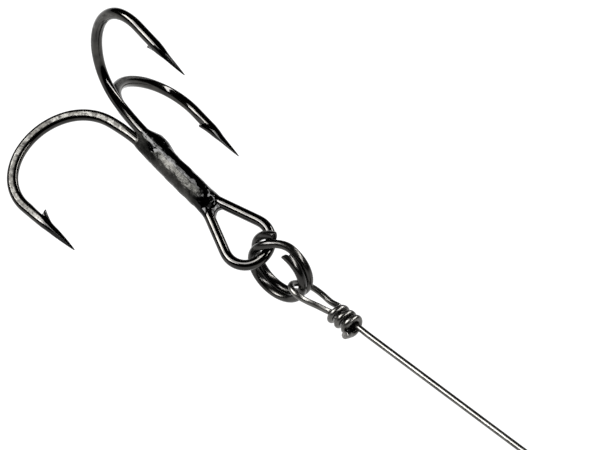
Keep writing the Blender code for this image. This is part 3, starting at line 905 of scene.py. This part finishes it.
class Nodes:
    """Short ways of adding shader nodes to one material."""

    def __init__(self, name):
        self.material = bpy.data.materials.new(name)
        self.material.use_nodes = True
        self.tree = self.material.node_tree
        self.shader = self.tree.nodes["Principled BSDF"]
        self.place = self.tree.nodes.new("ShaderNodeTexCoord").outputs["Object"]

    def link(self, source, target):
        self.tree.links.new(source, target)

    def noise(self, scale, detail):
        node = self.tree.nodes.new("ShaderNodeTexNoise")
        node.inputs["Scale"].default_value = scale
        node.inputs["Detail"].default_value = detail
        self.link(self.place, node.inputs["Vector"])
        return node.outputs["Fac"]

    def spots(self, scale):
        node = self.tree.nodes.new("ShaderNodeTexVoronoi")
        node.inputs["Scale"].default_value = scale
        self.link(self.place, node.inputs["Vector"])
        return node.outputs["Distance"]

    def attribute(self, name):
        node = self.tree.nodes.new("ShaderNodeAttribute")
        node.attribute_name = name
        return node.outputs["Fac"]

    def ramp(self, source, spread, values=(0.0, 1.0)):
        """From the first value to the second as the source rises over the spread."""
        node = self.tree.nodes.new("ShaderNodeMapRange")
        node.interpolation_type = "SMOOTHSTEP"
        for key, value in zip(("From Min", "From Max", "To Min", "To Max"), (*spread, *values)):
            node.inputs[key].default_value = value
        self.link(source, node.inputs["Value"])
        return node.outputs["Result"]

    def math(self, operation, first, second):
        node = self.tree.nodes.new("ShaderNodeMath")
        node.operation = operation
        for index, value in enumerate((first, second)):
            if isinstance(value, (int, float)):
                node.inputs[index].default_value = value
            else:
                self.link(value, node.inputs[index])
        return node.outputs["Value"]

    def mix(self, share, first, second):
        node = self.tree.nodes.new("ShaderNodeMix")
        node.data_type = "RGBA"
        self.link(share, node.inputs["Factor"])
        for key, value in (("A", first), ("B", second)):
            if isinstance(value, tuple):
                node.inputs[key].default_value = (*value, 1.0)
            else:
                self.link(value, node.inputs[key])
        return node.outputs["Result"]

    def finish(self, colour, roughness, heights, strength):
        """A metal of this colour, roughness and bump height."""
        self.shader.inputs["Metallic"].default_value = 1.0
        self.link(colour, self.shader.inputs["Base Color"])
        self.link(roughness, self.shader.inputs["Roughness"])
        bump = self.tree.nodes.new("ShaderNodeBump")
        bump.inputs["Strength"].default_value = strength
        bump.inputs["Distance"].default_value = MM
        self.link(heights, bump.inputs["Height"])
        self.link(bump.outputs["Normal"], self.shader.inputs["Normal"])
        return self.material


def wire_metal(name, scale):
    """Black nickel over bronze wire: glossy where round, dull and mottled on the forged flats, and darker at
    the points, which is painted shade.
    """
    n = Nodes(name)
    forged = n.attribute("forged")
    past_point = n.ramp(n.attribute("to_tip"), POINT_SHADE_TO)
    mottle = n.noise(WIRE_MOTTLE * scale, COARSE_DETAIL)
    fine = n.noise(WIRE_FINE, FINE_DETAIL)
    specks = n.ramp(n.noise(WIRE_SPECKS * scale, SPECK_DETAIL), SPECK_SPREAD)
    patches = n.ramp(n.noise(WIRE_PATCHES * scale, FINE_DETAIL), PATCH_SPREAD)
    black = n.mix(n.ramp(mottle, WIRE_BLACK_SPREAD), *WIRE_BLACK)
    # Painted shade: towards each tip the black turns darker still.
    black = n.mix(past_point, POINT_SHADE_BLACK, black)
    fine_share = n.ramp(fine, FORGED_SPREAD)
    grey = n.mix(patches, n.mix(fine_share, *FORGED_DARK), n.mix(fine_share, *FORGED_PALE))
    grey = n.mix(specks, grey, SPECK_BLACK)
    colour = n.mix(forged, black, grey)
    glossy = n.math(
        "ADD", n.ramp(mottle, EVEN_SPREAD, WIRE_ROUGH), n.ramp(fine, WIRE_FINE_SPREAD, WIRE_ROUGH_FINE)
    )
    brushed = n.math(
        "ADD", n.ramp(mottle, EVEN_SPREAD, FORGED_ROUGH), n.ramp(fine, FORGED_FINE_SPREAD, FORGED_ROUGH_FINE)
    )
    difference = n.math("SUBTRACT", brushed, glossy)
    roughness = n.math("ADD", glossy, n.math("MULTIPLY", difference, forged))
    grain_height = n.math("ADD", WIRE_GRAIN, n.math("MULTIPLY", forged, FORGED_GRAIN))
    relief = n.math("ADD", n.math("MULTIPLY", fine, grain_height), n.math("MULTIPLY", mottle, WIRE_SWELL))
    heights = n.math("MULTIPLY", relief, n.math("ADD", POINT_BUMP, past_point))
    return n.finish(colour, roughness, heights, BUMP_STRENGTH)


def braze_metal():
    """Black plating over rough braze: a granular sheen, and a smoother, darker black where the wet mask is
    set, whose darker colour is painted shade on the pool and the glossy side.
    """
    n = Nodes("black_nickel_braze")
    wet_shade = n.attribute("wet_shade")
    dry = n.math("SUBTRACT", 1.0, wet_shade)
    mottle = n.noise(BRAZE_MOTTLE, COARSE_DETAIL)
    grain = n.noise(BRAZE_GRAINS, COARSE_DETAIL)
    pits = n.ramp(n.spots(BRAZE_PITS), PIT_SPREAD)
    dull = n.mix(n.ramp(mottle, BRAZE_DULL_SPREAD), *BRAZE_DULL)
    # Painted shade: where the wet mask is set, the colour turns darker.
    colour = n.mix(wet_shade, dull, BRAZE_WET_SHADE)
    rough = n.math(
        "ADD", n.ramp(mottle, BRAZE_ROUGH_SPREAD, BRAZE_ROUGH),
        n.ramp(grain, BRAZE_GRAIN_SPREAD, BRAZE_ROUGH_FINE),
    )
    smooth = n.ramp(mottle, BRAZE_ROUGH_SPREAD, BRAZE_SMOOTH)
    roughness = n.math("ADD", n.math("MULTIPLY", rough, dry), n.math("MULTIPLY", smooth, wet_shade))
    grain_height = n.math("ADD", WET_GRAIN, n.math("MULTIPLY", dry, DRY_GRAIN))
    heights = n.math("ADD", n.math("MULTIPLY", grain, grain_height), n.math("MULTIPLY", pits, PIT_DEPTH))
    return n.finish(colour, roughness, heights, BRAZE_BUMP_STRENGTH)


def drawn_roughness(n, mottle, fine, rough):
    return n.math(
        "ADD", n.ramp(mottle, EVEN_SPREAD, rough), n.ramp(fine, DRAWN_FINE_SPREAD, DRAWN_ROUGH_FINE)
    )


def ring_metal():
    """Black nickel ring: smooth drawn wire, faintly mottled."""
    n = Nodes("black_nickel_ring")
    mottle = n.noise(RING_MOTTLE, COARSE_DETAIL)
    fine = n.noise(RING_FINE, FINE_DETAIL)
    colour = n.mix(n.ramp(mottle, DRAWN_SPREAD), *RING_BLACK)
    roughness = drawn_roughness(n, mottle, fine, RING_ROUGH)
    heights = n.math(
        "ADD", n.math("MULTIPLY", fine, RING_FINE_GRAIN), n.math("MULTIPLY", mottle, RING_SWELL)
    )
    return n.finish(colour, roughness, heights, BUMP_STRENGTH)


def leader_metal():
    """Dark spring steel, smoothly drawn and a little tarnished, bright where it was cut."""
    n = Nodes("grey_steel_leader")
    mottle = n.noise(LEADER_MOTTLE, COARSE_DETAIL)
    fine = n.noise(LEADER_FINE, FINE_DETAIL)
    drawn = n.mix(n.ramp(mottle, DRAWN_SPREAD), *LEADER_DRAWN)
    colour = n.mix(n.attribute("cut"), drawn, LEADER_CUT)
    roughness = drawn_roughness(n, mottle, fine, LEADER_ROUGH)
    heights = n.math(
        "ADD", n.math("MULTIPLY", fine, LEADER_FINE_GRAIN), n.math("MULTIPLY", mottle, LEADER_SWELL)
    )
    return n.finish(colour, roughness, heights, BUMP_STRENGTH)


# ============================== stage ========================================================
# Lengths here are in metres, except the camera's place, its lens and its sensor.
CAMERA_PLACE = Vector((350.643, -348.197, 466.117))
CAMERA_RIGHT = Vector((0.67283, 0.73576, 0.07717))
CAMERA_UP = Vector((-0.54441, 0.42180, 0.72506))
CAMERA_BACK = Vector((0.50092, -0.52985, 0.68435))
CAMERA_LENS = 298.4
CAMERA_SENSOR = 36.0
CAMERA_CLIP = 0.05
FLOOR_HALF = 30.0
FLOOR_HEIGHT = -0.03
FLOOR_GREY = 0.08
FLOOR_ROUGH = 0.9
FLOOR_SPECULAR = 0.1
FLOOR_GLOW = (0.96, 0.45)
FLOOR_GLOW_REACH = (0.09, 0.45)
SKY_HEIGHT = (0.02, 0.30)
SKY_GLOW = (0.35, 0.06)
# Name, azimuth, elevation, distance, size and the brightness of the face.
SOFTBOXES = (
    ("left_soft", -130, 39, 1.4, (1.05, 0.48), 26),
    ("left_wash", -122, 59, 1.5, (0.75, 0.34), 12),
    ("right_soft", 42, 46, 1.4, (2.5, 0.22), 24),
)


def camera():
    """The photo's camera: a long lens that looks down on the part from the leader's side."""
    data = bpy.data.cameras.new("camera")
    data.lens = CAMERA_LENS
    data.sensor_width = CAMERA_SENSOR
    data.clip_start = CAMERA_CLIP
    eye = bpy.data.objects.new("camera", data)
    turned = Matrix((CAMERA_RIGHT, CAMERA_UP, CAMERA_BACK)).transposed().to_4x4()
    eye.matrix_world = Matrix.Translation(CAMERA_PLACE * MM) @ turned
    bpy.context.scene.collection.objects.link(eye)
    bpy.context.scene.camera = eye


def glow_ramp(nodes, reach, glow):
    """A smooth fall of brightness over a reach."""
    node = nodes.new("ShaderNodeMapRange")
    node.interpolation_type = "SMOOTHSTEP"
    for key, value in zip(("From Min", "From Max", "To Min", "To Max"), (*reach, *glow)):
        node.inputs[key].default_value = value
    return node


def floor_paper():
    """Pale paper that glows round the object, which throws hardly any shadow, as in the photo."""
    material = bpy.data.materials.new("pale_floor")
    material.use_nodes = True
    nodes, links = material.node_tree.nodes, material.node_tree.links
    shader = nodes["Principled BSDF"]
    shader.inputs["Base Color"].default_value = (FLOOR_GREY, FLOOR_GREY, FLOOR_GREY, 1.0)
    shader.inputs["Emission Color"].default_value = (1.0, 1.0, 1.0, 1.0)
    shader.inputs["Roughness"].default_value = FLOOR_ROUGH
    shader.inputs["Specular IOR Level"].default_value = FLOOR_SPECULAR
    place = nodes.new("ShaderNodeTexCoord")
    reach = nodes.new("ShaderNodeVectorMath")
    reach.operation = "LENGTH"
    glow = glow_ramp(nodes, FLOOR_GLOW_REACH, FLOOR_GLOW)
    links.new(place.outputs["Object"], reach.inputs[0])
    links.new(reach.outputs["Value"], glow.inputs["Value"])
    links.new(glow.outputs["Result"], shader.inputs["Emission Strength"])
    return material


def floor():
    """A floor below the part, low enough for the leader to swing over it."""
    mesh = bpy.data.meshes.new("floor")
    signs = ((-1, -1), (1, -1), (1, 1), (-1, 1))
    corners = [(x * FLOOR_HALF, y * FLOOR_HALF, FLOOR_HEIGHT) for x, y in signs]
    mesh.from_pydata(corners, [], [(0, 1, 2, 3)])
    mesh.materials.append(floor_paper())
    ground = bpy.data.objects.new("floor", mesh)
    bpy.context.scene.collection.objects.link(ground)


def softbox(name, azimuth_deg, elevation_deg, distance, size, radiance):
    """An area light that faces the object from a direction, given by the brightness of its face."""
    data = bpy.data.lights.new(name, "AREA")
    data.shape = "RECTANGLE"
    data.size, data.size_y = size
    data.energy = radiance * math.pi * size[0] * size[1]
    azimuth, elevation = math.radians(azimuth_deg), math.radians(elevation_deg)
    outward = Vector((
        math.cos(azimuth) * math.cos(elevation), math.sin(azimuth) * math.cos(elevation), math.sin(elevation)
    ))
    light = bpy.data.objects.new(name, data)
    light.location = outward * distance
    light.rotation_euler = (-outward).to_track_quat("-Z", "Y").to_euler()
    bpy.context.scene.collection.objects.link(light)


def studio_world():
    """Dark above and pale at the horizon, like a sweep of white paper."""
    world = bpy.data.worlds.new("studio")
    world.use_nodes = True
    nodes, links = world.node_tree.nodes, world.node_tree.links
    place = nodes.new("ShaderNodeTexCoord")
    split = nodes.new("ShaderNodeSeparateXYZ")
    glow = glow_ramp(nodes, SKY_HEIGHT, SKY_GLOW)
    links.new(place.outputs["Generated"], split.inputs["Vector"])
    links.new(split.outputs["Z"], glow.inputs["Value"])
    links.new(glow.outputs["Result"], nodes["Background"].inputs["Strength"])
    bpy.context.scene.world = world


# ============================== build ========================================================
DOUBLE_MOTTLE_SCALE = 1.0
SINGLE_MOTTLE_SCALE = 1.1


def hook_and_ring():
    """The hook's two wires and their braze, and the split ring, each in place of its CAD solid."""
    double = double_wire_path()
    single = single_wire_path()
    double_black = wire_metal("black_nickel_double", DOUBLE_MOTTLE_SCALE)
    single_black = wire_metal("black_nickel_single", SINGLE_MOTTLE_SCALE)
    pieces = (
        (hook_wire("hook_double_strand", double, (HOOKS["a"], HOOKS["c"]), double_black),
         "hook", "double_hook_wire", "black_nickel_wire"),
        (hook_wire("hook_single_strand", single, (None, HOOKS["b"]), single_black),
         "hook", "single_hook_wire", "black_nickel_single"),
        (braze_body(braze_metal(), (double, single)), "hook", "braze", "black_braze"),
        (split_ring(ring_metal()), "ring", "split_ring", "black_ring_steel"),
    )
    for piece, body, node, finish in pieces:
        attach(piece, body)
        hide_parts(node)


def wire_leader():
    """The leader's one wire, which leaves the ring at the top of its near loop."""
    strand, route = leader(leader_metal())
    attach(strand, "leader")
    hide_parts("leader_wire")


def main():
    bpy.context.scene.view_settings.view_transform = "Standard"
    hook_and_ring()
    wire_leader()
    camera()
    floor()
    studio_world()
    for light in SOFTBOXES:
        softbox(*light)


main()
